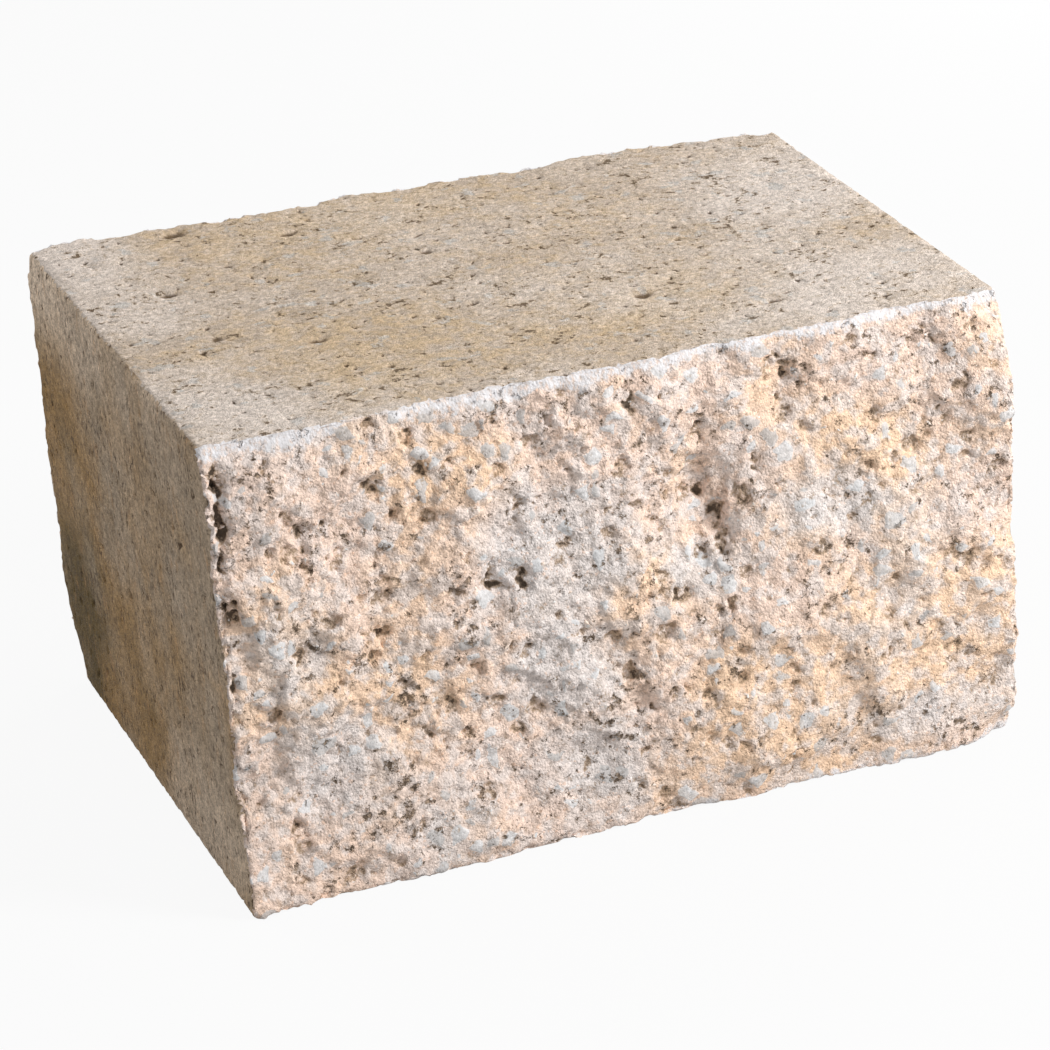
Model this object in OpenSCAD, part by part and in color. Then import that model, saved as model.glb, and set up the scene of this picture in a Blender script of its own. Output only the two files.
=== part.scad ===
// Split-face concrete walling block.
//
// The block is pressed as a slab between two end plates and is then broken along two
// blade lines. Its ends, top and bottom are flat. Its front and back are fracture
// surfaces that bow out between the blade lines, with lumps and hollows.
//
// Millimetres. X runs along the wall, Y from the front face to the back, Z up.
// The origin is the middle of the underside.

/* [Block] */
// Length between the two moulded ends
length = 240; // [160:1:320]
// Height between the two pressed beds
height = 140; // [80:1:200]
// Depth between the boldest points of the two split faces
depth = 200; // [140:1:320]
// Worn chamfer along the moulded edges that run from front to back
arris = 0.8; // [0.4:0.1:4]

/* [Split faces] */
// Set-back of the front face at top left, top right, bottom left and bottom right
front_lean = [7, 6, 1, 2]; // [0:0.5:20]
// Set-back of the back face at the same four corners, seen from the front
back_lean = [0, 14, 0, 12]; // [0:0.5:20]
// How far the crushed blade line at the top lies behind the face
top_blade_depth = 7; // [0:0.5:15]
// How far the crushed blade line at the bottom lies behind the face
bottom_blade_depth = 5; // [0:0.5:15]
// Height over which the face runs out from a blade line
blade_run = 14; // [6:0.5:30]
// Share of the lumps that the blade takes away at its line
blade_calm = 0.45; // [0:0.05:1]

/* [Lumps] */
// Spacing of the broadest lumps
lump_pitch = 40; // [20:1:80]
// Rise of the broadest lumps from valley to crest
lump_rise = 6; // [0:0.5:14]
// Octaves of lumps, each half the spacing of the one before
lump_octaves = 3; // [1:1:4]
// Rise of each octave as a share of the one before
lump_fade = 0.65; // [0.2:0.05:0.8]
// Pattern of the front face
front_seed = 16; // [1:1:99]
// Pattern of the back face
back_seed = 2; // [1:1:99]
// Side of the facets that the split faces are made of
facet = 5; // [5:0.5:12]

/* [Hidden] */

concrete = [0.86, 0.75, 0.61];

// Hollows and bosses: centre x, centre z, half width, half height, depth (below 0 stands proud)
front_marks = [
    [26, 92, 10, 25, 7],
    [-76, 108, 22, 18, 3],
    [-40, 82, 10, 14, 2.5],
    [52, 124, 9, 11, 3],
    [-57, 48, 9, 11, 3],
    [length / 2, 112, 26, 22, -3],
    [-length / 2, 0, 34, 26, -4],
    [length / 2, 0, 13, 11, 6],
];
back_marks = [
    [-40, 60, 30, 24, 4],
    [66, 84, 24, 20, -4],
    [-length / 2, 0, 18, 15, 16],
    [length / 2, height, 14, 12, 4],
];

// The facets run past the block by this much, so that its flat faces cut clean through them
overrun = facet * 0.55;
columns = ceil((length + 2 * overrun) / facet);
rows = ceil((height + 2 * overrun) / facet);
// Share of a facet by which its corners stray from an even grid
stray = 0.4;
// Turn of each octave's lattice from the one before, so that no lines show
lump_turn = 37;

// A repeatable number from 0 to 1 for a lattice point
function dice(i, j, seed) =
    let (s = sin(i * 127.1 + j * 311.7 + seed * 74.7) * 43758.5453)
    s - floor(s);

function ease(t) = t * t * (3 - 2 * t);

function blend(a, b, t) = a + (b - a) * t;

// Smooth lumps from 0 to 1 with one lump to each lattice square
function lumps(u, v, seed) =
    let (i = floor(u), j = floor(v), s = ease(u - i), t = ease(v - j))
    blend(
        blend(dice(i, j, seed), dice(i + 1, j, seed), s),
        blend(dice(i, j + 1, seed), dice(i + 1, j + 1, seed), s),
        t
    );

// Lumps on lumps, in millimetres: the broadest are smooth, the rest meet in sharp creases
function broken(x, z, seed, octave = 0) =
    octave == lump_octaves ? 0 :
    let (
        pitch = lump_pitch / pow(2, octave),
        turn = lump_turn * (octave + 1),
        u = (x * cos(turn) - z * sin(turn)) / pitch,
        v = (x * sin(turn) + z * cos(turn)) / pitch,
        lump = lumps(u, v, seed + octave)
    )
    lump_rise * pow(lump_fade, octave) * (octave == 0 ? lump : 1 - abs(2 * lump - 1))
        + broken(x, z, seed, octave + 1);

// 1 on a blade line, falling to 0 where the face has run out to its full bow
function near_blade(away) =
    away >= blade_run ? 0 : pow(1 - max(away, 0) / blade_run, 2);

function lean_at(x, z, lean) =
    let (s = x / length + 0.5, t = z / height)
    blend(blend(lean[2], lean[3], s), blend(lean[0], lean[1], s), t);

function mark_at(x, z, marks) =
    [for (m = marks) m[4] * exp(-pow((x - m[0]) / m[2], 2) - pow((z - m[1]) / m[3], 2))]
        * [for (m = marks) 1];

// How far a split face lies behind its own boldest point, before that point is known
function raw_set_back(x, z, seed, lean, marks) =
    let (top = near_blade(height - z), bottom = near_blade(z))
    lean_at(x, z, lean) + mark_at(x, z, marks)
        + top_blade_depth * top + bottom_blade_depth * bottom
        + broken(x, z, seed) * (1 - blade_calm * max(top, bottom));

// Facet corners as x, z and set-back, row by row from the bottom
function face_points(seed, lean, marks) = [
    for (j = [0 : rows], i = [0 : columns])
        let (
            inner_i = i > 0 && i < columns ? stray : 0,
            inner_j = j > 0 && j < rows ? stray : 0,
            across = (i + inner_i * (dice(i, j, seed + 20) - 0.5)) / columns,
            up = (j + inner_j * (dice(i, j, seed + 40) - 0.5)) / rows,
            x = (across - 0.5) * (length + 2 * overrun),
            z = up * (height + 2 * overrun) - overrun
        )
        [x, z, raw_set_back(x, z, seed, lean, marks)]
];

function boldest(points) = min([
    for (p = points)
        if (abs(p[0]) <= length / 2 && p[1] >= 0 && p[1] <= height) p[2]
]);

function corner(i, j) = j * (columns + 1) + i;

// Two triangles to each facet, with the diagonals turned about from one to the next
function face_triangles(first, turned) = [
    for (j = [0 : rows - 1], i = [0 : columns - 1])
        let (
            a = first + corner(i, j),
            b = first + corner(i + 1, j),
            c = first + corner(i + 1, j + 1),
            d = first + corner(i, j + 1)
        )
        each [
            for (t = (i + j) % 2 == 0 ? [[a, d, c], [a, c, b]] : [[a, d, b], [b, d, c]])
                turned ? [t[2], t[1], t[0]] : t
        ]
];

// Everything that lies between the two fracture surfaces
module between_splits() {
    front = face_points(front_seed, front_lean, front_marks);
    back = face_points(back_seed, back_lean, back_marks);
    front_bold = boldest(front);
    back_bold = boldest(back);
    count = len(front);
    points = concat(
        [for (p = front) [p[0], -depth / 2 + max(0, p[2] - front_bold), p[1]]],
        [for (p = back) [p[0], depth / 2 - max(0, p[2] - back_bold), p[1]]]
    );
    rim = concat(
        [for (i = [0 : columns - 1]) [corner(i, 0), corner(i + 1, 0)]],
        [for (j = [0 : rows - 1]) [corner(columns, j), corner(columns, j + 1)]],
        [for (i = [columns : -1 : 1]) [corner(i, rows), corner(i - 1, rows)]],
        [for (j = [rows : -1 : 1]) [corner(0, j), corner(0, j - 1)]]
    );
    sides = [for (r = rim) [r[0], r[1], r[1] + count, r[0] + count]];
    polyhedron(
        points = points,
        faces = concat(face_triangles(0, false), face_triangles(count, true), sides)
    );
}

// The slab as it leaves the press: flat ends and beds with worn edges
module pressed_slab() {
    end = length / 2;
    rotate([90, 0, 0])
        linear_extrude(height = depth + 2 * facet, center = true)
            polygon([
                [-end + arris, 0], [end - arris, 0], [end, arris], [end, height - arris],
                [end - arris, height], [-end + arris, height], [-end, height - arris], [-end, arris],
            ]);
}

module block() {
    color(concrete)
        intersection() {
            pressed_slab();
            between_splits();
        }
}

block();
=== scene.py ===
"""Looks of the split-face concrete block: its relief, stones and finishes, the studio and the camera.

The block is one piece of pressed concrete. Its CAD solid is remeshed finely, and a Geometry Nodes tree
gives each side its own surface: broken concrete on the two split faces, pressed sand on the beds and
smooth moulded concrete on the ends. A second tree sets loose stones into the split faces.
"""
import logging
import math
from dataclasses import dataclass
from enum import Enum
from typing import ClassVar, Optional, Union

import bmesh
import bpy
import numpy as np
from mathutils import Matrix, Vector


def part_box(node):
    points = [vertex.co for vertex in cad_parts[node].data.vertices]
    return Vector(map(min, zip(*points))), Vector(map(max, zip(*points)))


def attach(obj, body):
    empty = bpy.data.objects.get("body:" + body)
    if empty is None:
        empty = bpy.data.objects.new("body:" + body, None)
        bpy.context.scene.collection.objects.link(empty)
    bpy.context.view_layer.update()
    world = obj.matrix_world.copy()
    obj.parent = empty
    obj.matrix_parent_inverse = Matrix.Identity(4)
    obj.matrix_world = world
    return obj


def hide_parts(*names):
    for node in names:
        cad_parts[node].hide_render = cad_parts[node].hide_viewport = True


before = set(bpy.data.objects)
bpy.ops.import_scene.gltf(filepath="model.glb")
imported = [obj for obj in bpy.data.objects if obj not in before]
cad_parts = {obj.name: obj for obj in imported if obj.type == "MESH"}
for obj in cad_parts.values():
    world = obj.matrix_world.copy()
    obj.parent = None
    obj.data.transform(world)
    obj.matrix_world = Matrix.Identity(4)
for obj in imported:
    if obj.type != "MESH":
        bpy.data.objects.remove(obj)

MM = 0.001
LENGTH = 240.0 * MM
DEPTH = 200.0 * MM
HEIGHT = 140.0 * MM
PHOTO_PIXELS = 1050
LOG = logging.getLogger("concrete_block")

Colour = tuple[float, float, float, float]
Socket = bpy.types.NodeSocket
Outputs = bpy.types.NodeOutputs
Feed = Union[Socket, float, int, str, tuple, bpy.types.Material]


class Side(Enum):
    """The six sides of the block, as the order of their islands on its map."""

    FRONT = 0
    BACK = 1
    TOP = 2
    BOTTOM = 3
    LEFT = 4
    RIGHT = 5


class Mask(Enum):
    """The point attributes that carry what the relief knows over to the materials."""

    REST = "rest"
    SPLIT = "split"
    BED = "bed"
    CAVITY = "cavity"
    HOLLOW = "hollow"
    WARM = "warm"
    PALE = "pale"
    CRUSHED = "crushed"
    STONE = "stone"
    PICK = "stone_pick"
    TONE = "stone_tone"
    SIZE = "stone_size"
    RIM = "stone_rim"


@dataclass(frozen=True)
class Spot:
    """An ellipse that is placed on one side, in millimetres along the side's two axes."""

    across: float
    along: float
    half_across: float
    half_along: float
    depth: float = 1.0


@dataclass(frozen=True)
class Island:
    """Where one side of the block lies on its map, in millimetres on a square sheet."""

    side: Side
    across: int
    along: int
    turned: bool
    left: float
    low: float


class Graph:
    """Short calls that add nodes to one shader or geometry tree and link them."""

    def __init__(self, tree: bpy.types.NodeTree) -> None:
        """Keep the tree that the nodes go into."""
        self.tree = tree

    def feed(self, socket: Socket, value: Feed) -> None:
        """Link or set one input.

        Args:
            socket: The input to feed.
            value: Another node's output, or a constant.
        """
        if isinstance(value, Socket):
            self.tree.links.new(value, socket)
        else:
            socket.default_value = value

    def add(self, kind: str, feeds: Optional[dict] = None, **settings: object) -> bpy.types.Node:
        """Add one node.

        Args:
            kind: Blender's name for the node type.
            feeds: Inputs by name or index, each a socket or a constant.
            **settings: Properties of the node, set before its inputs.

        Returns:
            The new node.
        """
        node = self.tree.nodes.new(kind)
        for name, setting in settings.items():
            setattr(node, name, setting)
        for name, value in (feeds or {}).items():
            self.feed(node.inputs[name], value)
        return node

    def one(self, kind: str, feeds: Optional[dict] = None, **settings: object) -> Socket:
        """Add one node as the method add does, and return its first output."""
        return self.add(kind, feeds, **settings).outputs[0]

    def math(self, operation: str, *values: Feed) -> Socket:
        """Add a Math node.

        Args:
            operation: The node's operation.
            *values: Its one to three inputs.

        Returns:
            The value.
        """
        return self.one("ShaderNodeMath", dict(enumerate(values)), operation=operation)

    def times(self, one: Feed, two: Feed) -> Socket:
        """Return a value times another."""
        return self.math("MULTIPLY", one, two)

    def minus(self, one: Feed, two: Feed) -> Socket:
        """Return a value less another."""
        return self.math("SUBTRACT", one, two)

    def most(self, one: Feed, two: Feed) -> Socket:
        """Return the larger of two values."""
        return self.math("MAXIMUM", one, two)

    def least(self, one: Feed, two: Feed) -> Socket:
        """Return the smaller of two values."""
        return self.math("MINIMUM", one, two)

    def fitted(self, value: Feed, gain: Feed, offset: Feed) -> Socket:
        """Return a value times a gain, plus an offset."""
        return self.math("MULTIPLY_ADD", value, gain, offset)

    def swing(self, where: Feed, size: Feed, detail: float = 2.0, rough: float = 0.5) -> Socket:
        """Return a noise about 0, with the inputs of the method noise."""
        return self.minus(self.noise(where, size, detail, rough), 0.5)

    def crest(self, share: Feed) -> Socket:
        """Return 1 where a share is one half, falling to 0 where it is 0 or 1."""
        return self.times(self.times(share, self.minus(1.0, share)), 4.0)

    def vector(self, operation: str, *values: Feed) -> Socket:
        """Add a Vector Math node with vector inputs.

        Args:
            operation: The node's operation.
            *values: Its one or two vectors.

        Returns:
            The vector, or the value for LENGTH.
        """
        node = self.add("ShaderNodeVectorMath", dict(enumerate(values)), operation=operation)
        return node.outputs["Value" if operation == "LENGTH" else "Vector"]

    def scaled(self, vector: Feed, scale: Feed) -> Socket:
        """Return a vector times a number."""
        node = self.add("ShaderNodeVectorMath", {"Vector": vector, "Scale": scale}, operation="SCALE")
        return node.outputs["Vector"]

    def axes(self, vector: Feed) -> Outputs:
        """Return a vector's X, Y and Z outputs."""
        return self.add("ShaderNodeSeparateXYZ", {0: vector}).outputs

    def step(self, value: Feed, start: Feed, end: Feed) -> Socket:
        """Return a smooth step, 0 at start and 1 at end."""
        feeds = {"Value": value, "From Min": start, "From Max": end}
        return self.add("ShaderNodeMapRange", feeds, interpolation_type="SMOOTHSTEP").outputs["Result"]

    def blend(self, factor: Feed, low: Feed, high: Feed) -> Socket:
        """Return a value between two others."""
        return self.one("ShaderNodeMix", {0: factor, 2: low, 3: high}, data_type="FLOAT")

    def tint(self, factor: Feed, low: Feed, high: Feed, how: str = "MIX") -> Socket:
        """Blend two colours.

        Args:
            factor: How much of the second colour there is.
            low: The first colour.
            high: The second colour.
            how: The blend type.

        Returns:
            The blended colour.
        """
        feeds = {0: factor, 6: low, 7: high}
        return self.add("ShaderNodeMix", feeds, data_type="RGBA", blend_type=how).outputs[2]

    def noise(self, where: Feed, size: Feed, detail: float = 2.0, rough: float = 0.5) -> Socket:
        """Add a Noise Texture.

        Args:
            where: The place, in millimetres.
            size: How large its blotches are, in millimetres.
            detail: How many finer octaves it has.
            rough: How strong the finer octaves are.

        Returns:
            The noise, about 0.5 on average.
        """
        feeds = {"Vector": where, "Scale": self.per(size), "Detail": detail, "Roughness": rough}
        return self.one("ShaderNodeTexNoise", feeds)

    def per(self, size: Feed) -> Feed:
        """Return a texture's scale for a size in millimetres."""
        return self.math("DIVIDE", 1.0, size) if isinstance(size, Socket) else 1.0 / size

    def cells(self, where: Feed, size: Feed, feature: str = "F1") -> bpy.types.Node:
        """Add a Voronoi Texture.

        Args:
            where: The place, in millimetres.
            size: How large its cells are, in millimetres.
            feature: What it measures.

        Returns:
            The node, for its Distance and Color outputs.
        """
        return self.add("ShaderNodeTexVoronoi", {"Vector": where, "Scale": self.per(size)}, feature=feature)

    def ellipses(self, where: Feed, side: Side, spots: tuple[Spot, ...], start: float, end: float) -> Socket:
        """Join soft ellipses that are placed on one side.

        Args:
            where: The place, in millimetres.
            side: The side that they are on.
            spots: The ellipses.
            start: Where an ellipse begins, as a share of its half width and half height.
            end: Where it is at its full depth.

        Returns:
            The deepest of them.
        """
        axes = self.axes(where)
        first, second, outward = {Side.FRONT: (0, 2, 1), Side.TOP: (0, 1, 2), Side.LEFT: (1, 2, 0)}[side]
        flat = self.one("ShaderNodeCombineXYZ", {0: axes[first], 1: axes[second]})
        highest: Feed = 0.0
        for spot in spots:
            away = self.vector("SUBTRACT", flat, (spot.across, spot.along, 0.0))
            reach = self.vector("MULTIPLY", away, (1.0 / spot.half_across, 1.0 / spot.half_along, 0.0))
            bowl = self.step(self.vector("LENGTH", reach), start, end)
            highest = self.most(highest, self.times(bowl, spot.depth))
        limits = (70.0, 90.0) if side is Side.TOP else (-10.0, -40.0)
        return self.times(highest, self.step(axes[outward], *limits))

    def wandering(self, where: Feed, size: float, reach: float, detail: float = 1.0) -> Socket:
        """Bend a place by a noise.

        Args:
            where: The place, in millimetres.
            size: How large the noise's blotches are, in millimetres.
            reach: How far the place wanders, in millimetres.
            detail: How many finer octaves the noise has.

        Returns:
            The bent place.
        """
        feeds = {"Vector": where, "Scale": 1.0 / size, "Detail": detail}
        sway = self.add("ShaderNodeTexNoise", feeds).outputs[1]
        return self.vector("ADD", where, self.scaled(self.vector("SUBTRACT", sway, (0.5, 0.5, 0.5)), reach))

    def moved(self, where: Feed, shift: float) -> Socket:
        """Return a place moved far enough to give another pattern from the same texture."""
        return self.vector("ADD", where, (shift, -0.7 * shift, 0.4 * shift))


def new_group(name: str, kind: str, inputs: dict[str, str], outputs: dict[str, str]) -> bpy.types.NodeTree:
    """Make an empty node group with its sockets.

    Args:
        name: The group's name.
        kind: The tree type, for shaders or for geometry.
        inputs: Socket types by input name.
        outputs: Socket types by output name.

    Returns:
        The node group.
    """
    tree = bpy.data.node_groups.new(name, kind)
    for socket, socket_type in inputs.items():
        tree.interface.new_socket(socket, in_out="INPUT", socket_type=socket_type)
    for socket, socket_type in outputs.items():
        tree.interface.new_socket(socket, in_out="OUTPUT", socket_type=socket_type)
    return tree


def live(sockets: Union[bpy.types.NodeInputs, Outputs], name: str) -> Socket:
    """Return the socket of a name that the node's settings leave in use."""
    return next(socket for socket in sockets if socket.name == name and socket.enabled)


def labelled(owner: object, names: tuple[str, ...]) -> dict[str, float]:
    """Return an object's fields by the names that they have as a tree's inputs."""
    return {name.replace("_", " ").title(): getattr(owner, name) for name in names}


def bare_material(name: str) -> bpy.types.Material:
    """Return a new material that has no nodes yet."""
    material = bpy.data.materials.new(name)
    material.use_nodes = True
    material.node_tree.nodes.clear()
    return material


def set_inputs(modifier: bpy.types.NodesModifier, values: dict[str, Feed]) -> None:
    """Set a Geometry Nodes modifier's inputs.

    Args:
        modifier: The modifier, with its tree in place.
        values: Values by the input's name.
    """
    for item in modifier.node_group.interface.items_tree:
        if item.item_type == "SOCKET" and item.in_out == "INPUT" and item.name in values:
            modifier[item.identifier] = values[item.name]


def baked(obj: bpy.types.Object, name: str) -> bpy.types.Object:
    """Turn an object with modifiers into a plain mesh object.

    Args:
        obj: The object, which is removed.
        name: The new object's name.

    Returns:
        The new object, with no modifiers.
    """
    graph = bpy.context.evaluated_depsgraph_get()
    shape = obj.evaluated_get(graph)
    mesh = bpy.data.meshes.new_from_object(shape, preserve_all_data_layers=True, depsgraph=graph)
    mesh.name = name
    bpy.data.objects.remove(obj)
    piece = bpy.data.objects.new(name, mesh)
    bpy.context.scene.collection.objects.link(piece)
    return piece


@dataclass(frozen=True)
class Mix:
    """The stones and grains of the concrete, at the same places in the relief and in the colours."""

    stone_size: float = 5.2
    grain_size: float = 2.5
    sway_size: float = 3.5
    sway: float = 2.2
    stone_share: float = 0.25
    socket_share: float = 0.17

    def swayed(self, graph: Graph, rest: Feed) -> Socket:
        """Bend the place a little, so that no stone has a straight side."""
        return graph.wandering(rest, self.sway_size, self.sway)

    def stones(self, graph: Graph, swayed: Feed) -> dict[str, Socket]:
        """Find the stones and the sockets that stones have left.

        Args:
            graph: The tree's graph.
            swayed: The bent place.

        Returns:
            Stone and Socket, each 1 well inside one and 0 outside, and Pick, a random value per stone.
        """
        pick = graph.axes(graph.cells(swayed, self.stone_size).outputs["Color"])
        edge = graph.cells(swayed, self.stone_size, "DISTANCE_TO_EDGE").outputs["Distance"]
        inside = graph.fitted(pick[2], -0.20, edge)
        inside = graph.step(inside, 0.02, 0.14)
        stone = graph.times(inside, graph.math("GREATER_THAN", pick[0], 1.0 - self.stone_share))
        socket = graph.times(inside, graph.math("LESS_THAN", pick[0], self.socket_share))
        return {"Stone": stone, "Socket": socket, "Pick": pick[1]}

    def grains(self, graph: Graph, swayed: Feed) -> Socket:
        """Find the coarse grains of sand between the stones.

        Args:
            graph: The tree's graph.
            swayed: The bent place.

        Returns:
            Each grain's roundness, signed by whether the grain stands out or is lost.
        """
        cells = graph.cells(swayed, self.grain_size).outputs
        pick = graph.axes(cells["Color"])
        dome = graph.minus(0.62, cells["Distance"])
        return graph.times(dome, graph.minus(graph.times(pick[0], 2.2), 0.5))


def point_values(mesh: bpy.types.Mesh, mask: Mask, width: int) -> np.ndarray:
    """Read a point attribute of a mesh.

    Args:
        mesh: The mesh.
        mask: Which attribute it is.
        width: 1 for a value and 3 for a vector.

    Returns:
        One row for each point.
    """
    values = np.empty(len(mesh.vertices) * width, dtype=np.float32)
    mesh.attributes[mask.value].data.foreach_get("vector" if width == 3 else "value", values)
    return values.reshape(-1, width)


def held_in(mesh: bpy.types.Mesh, low: Vector, high: Vector) -> None:
    """Keep every point of a mesh inside a box.

    Args:
        mesh: The mesh.
        low: The box's lowest corner.
        high: The box's highest corner.
    """
    points = np.empty(len(mesh.vertices) * 3, dtype=np.float32)
    mesh.vertices.foreach_get("co", points)
    held = np.clip(points.reshape(-1, 3), np.float32(low), np.float32(high))
    mesh.vertices.foreach_set("co", held.ravel())
    mesh.update()


class GrainGroup:
    """The fine sand that every finish of the concrete shares, as a shader node group."""

    def __init__(self) -> None:
        """Build the group once."""
        self.tree = new_group(
            "fine_sand",
            "ShaderNodeTree",
            {"Place": "NodeSocketVector", "Grain Size": "NodeSocketFloat"},
            {"Tone": "NodeSocketFloat", "Pick": "NodeSocketFloat", "Height": "NodeSocketFloat"},
        )
        graph = Graph(self.tree)
        given = graph.add("NodeGroupInput").outputs
        grains = graph.cells(given["Place"], given["Grain Size"]).outputs
        pick = graph.axes(grains["Color"])
        fine = graph.noise(given["Place"], graph.times(given["Grain Size"], 0.7), 2.0, 0.65)
        round_top = graph.minus(0.6, grains["Distance"])
        lifted = graph.times(round_top, graph.math("ADD", pick[2], 0.3))
        tone = graph.fitted(pick[1], 0.4, graph.times(fine, 0.6))
        height = graph.fitted(graph.minus(fine, 0.5), 0.7, lifted)
        graph.add("NodeGroupOutput", {"Tone": tone, "Pick": pick[0], "Height": height})

    def place(self, graph: Graph, where: Feed, size: float) -> Outputs:
        """Place the group in a material.

        Args:
            graph: The material's graph.
            where: The place, in millimetres.
            size: The grains' size in millimetres.

        Returns:
            The outputs Tone, Pick and Height.
        """
        node = graph.add("ShaderNodeGroup", node_tree=self.tree)
        graph.feed(node.inputs["Place"], where)
        graph.feed(node.inputs["Grain Size"], size)
        return node.outputs


def shaded(graph: Graph, colour: Feed, value: Feed, gain: Feed = 1.0, offset: Feed = 0.0) -> Socket:
    """Return a colour times a brightness, which is a value times a gain, plus an offset."""
    shade = graph.fitted(value, gain, offset)
    grey = graph.one("ShaderNodeCombineColor", {0: shade, 1: shade, 2: shade})
    return graph.tint(1.0, colour, grey, "MULTIPLY")


class Finish:
    """A concrete finish; each kind of side has its own."""

    name: str = ""
    relief: float = 1.0
    specular: float = 0.25

    def paint(self, graph: Graph, rest: Feed, here: Feed, grain: GrainGroup) -> dict[str, Socket]:
        """Add the finish's own nodes.

        Args:
            graph: The material's graph.
            rest: The place before the relief, in millimetres.
            here: The place on the finished piece, in millimetres.
            grain: The shared fine sand.

        Returns:
            The finish's Color and Roughness, and its Height in millimetres.
        """
        raise NotImplementedError

    @staticmethod
    def known(graph: Graph, mask: Mask) -> Socket:
        """Return one of the values that the relief has stored."""
        return graph.add("ShaderNodeAttribute", attribute_name=mask.value).outputs["Fac"]

    def material(self, grain: GrainGroup) -> bpy.types.Material:
        """Build the finish's material.

        Args:
            grain: The shared fine sand.

        Returns:
            The material.
        """
        material = bare_material(self.name)
        graph = Graph(material.node_tree)
        rest = graph.add("ShaderNodeAttribute", attribute_name=Mask.REST.value).outputs["Vector"]
        here = graph.add("ShaderNodeTexCoord").outputs["Object"]
        look = self.paint(graph, graph.scaled(rest, 1.0 / MM), graph.scaled(here, 1.0 / MM), grain)
        feeds = {"Height": look["Height"], "Strength": 1.0, "Distance": self.relief * MM}
        bump = graph.add("ShaderNodeBump", feeds)
        shader = graph.add(
            "ShaderNodeBsdfPrincipled",
            {"Base Color": look["Color"], "Roughness": look["Roughness"], "Normal": bump.outputs["Normal"]},
        )
        shader.inputs["Specular IOR Level"].default_value = self.specular
        graph.add("ShaderNodeOutputMaterial", {"Surface": shader.outputs["BSDF"]})
        return material


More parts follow.
